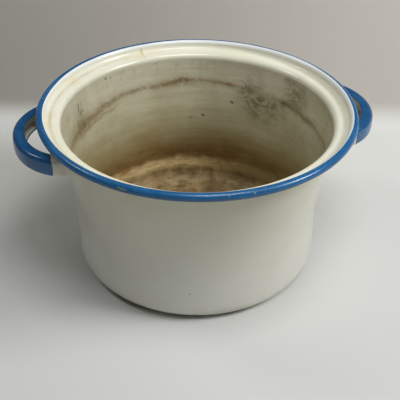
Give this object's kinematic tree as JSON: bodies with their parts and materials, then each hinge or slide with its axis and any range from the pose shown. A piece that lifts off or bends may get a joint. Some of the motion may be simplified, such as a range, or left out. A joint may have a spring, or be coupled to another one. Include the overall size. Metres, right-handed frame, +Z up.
{
  "type": "stock pot",
  "caption": "White enamelled steel stock pot with a flared wall, recessed lid seat, blue rolled rim and blue strap handles.",
  "frame": {"origin": "centre of the underside, on the surface the pot stands on", "axes": "+Z up through the mouth, +X and -X through the two handles"},
  "size_m": [0.3442, 0.3, 0.1654],
  "materials": {
    "steel": "satin",
    "weld_steel": "matte",
    "white_enamel": "gloss",
    "cream_enamel": "gloss",
    "blue_enamel": "gloss",
    "ground_coat": "satin"
  },
  "bodies": {
    "root": {"body_shell": "steel", "enamel_outside": "white_enamel", "enamel_inside": "cream_enamel", "enamel_rim": "blue_enamel", "handle_left": "steel", "handle_right": "steel", "enamel_handle_left": "blue_enamel", "enamel_handle_right": "blue_enamel", "enamel_channel_left": "ground_coat", "enamel_channel_right": "ground_coat", "enamel_root_left_front": "white_enamel", "enamel_root_left_rear": "white_enamel", "enamel_root_right_front": "white_enamel", "enamel_root_right_rear": "white_enamel", "weld_left_front": "weld_steel", "weld_left_rear": "weld_steel", "weld_right_front": "weld_steel", "weld_right_rear": "weld_steel"}
  },
  "joints": []
}
